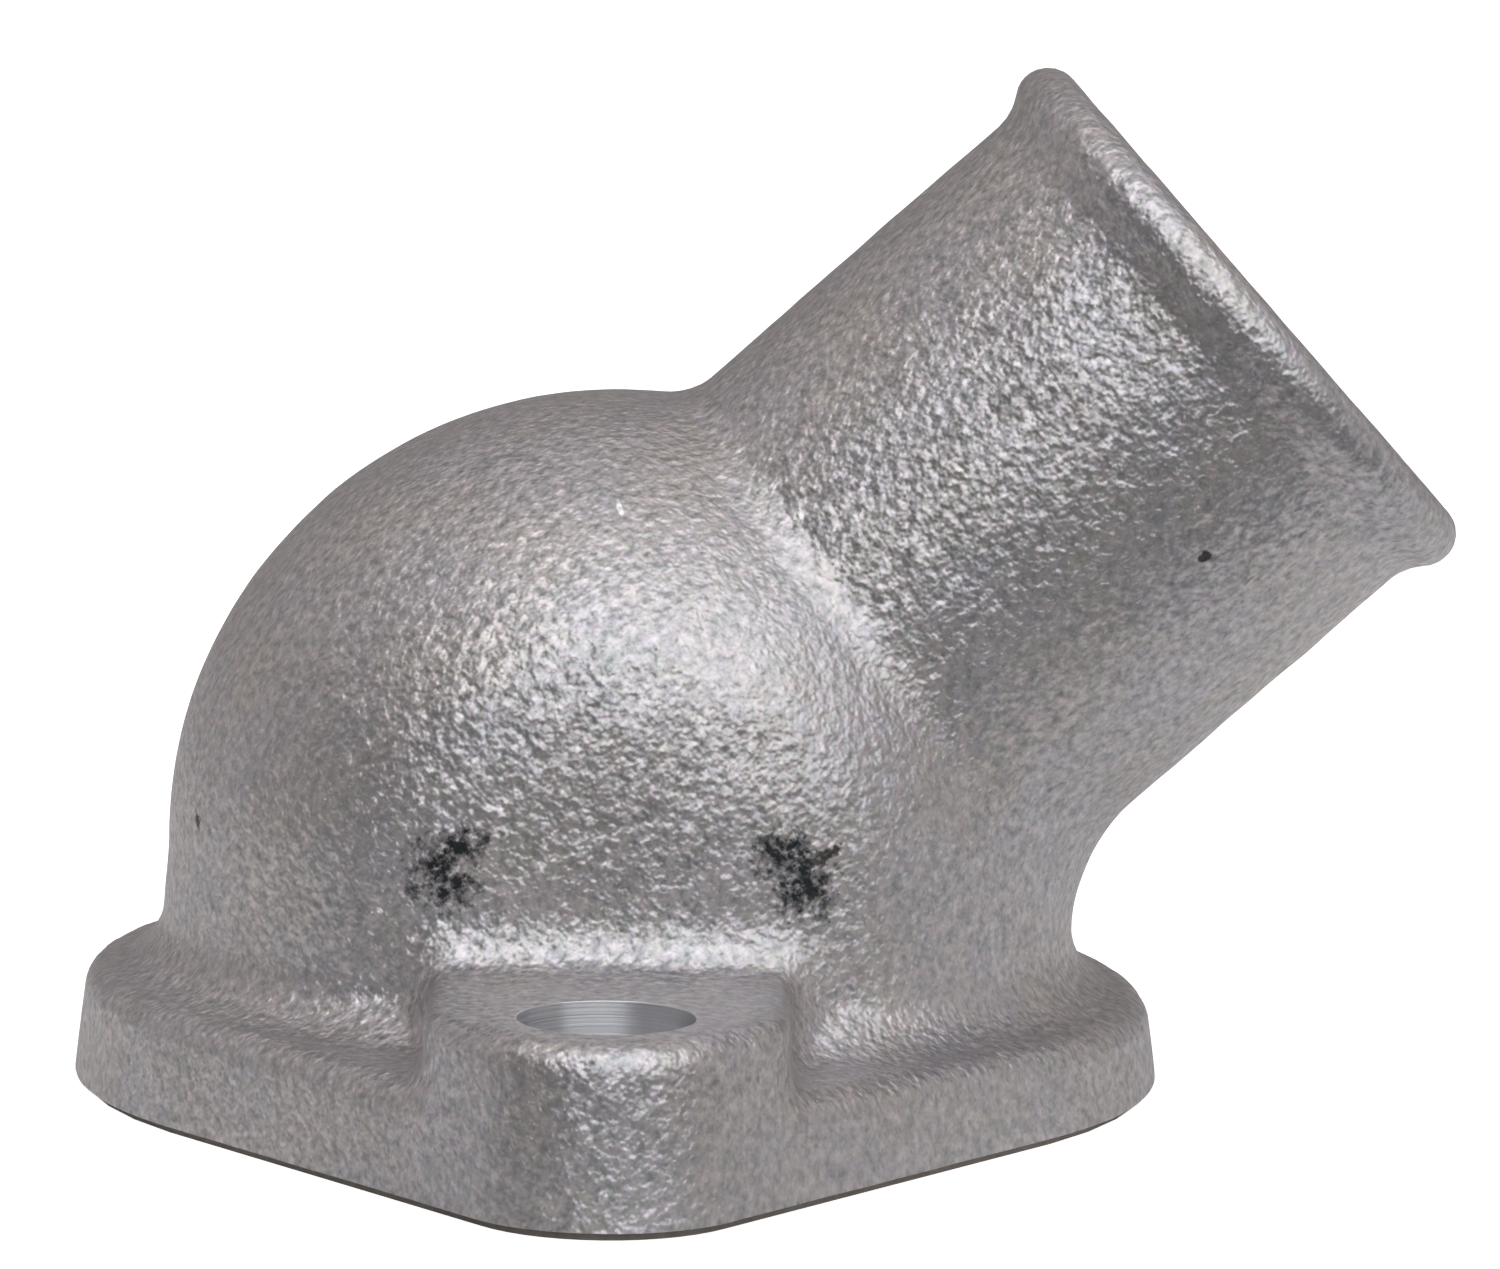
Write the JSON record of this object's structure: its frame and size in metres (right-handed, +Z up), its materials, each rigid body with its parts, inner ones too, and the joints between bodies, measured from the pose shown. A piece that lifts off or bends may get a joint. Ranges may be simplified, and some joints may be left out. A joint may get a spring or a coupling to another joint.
{
  "type": "coolant outlet elbow",
  "caption": "Cast aluminium coolant outlet elbow: a domed chamber on a two-bolt flange, with a beaded hose spigot at 42 degrees and a flat flange gasket.",
  "frame": {"origin": "centre of the flange on the gasket's lower face, midway between the two bolt holes", "axes": "+Z up through the dome, +X the way the hose spigot leans, +Y through the bolt holes"},
  "size_m": [0.0875, 0.099, 0.0646],
  "materials": {
    "cast_aluminium": "shot-blasted sand casting, satin with a coarse grain",
    "gasket_fibre": "dark compressed fibre sheet, matt"
  },
  "bodies": {
    "root": {"elbow_casting": "cast_aluminium", "flange_gasket": "gasket_fibre"}
  },
  "joints": []
}
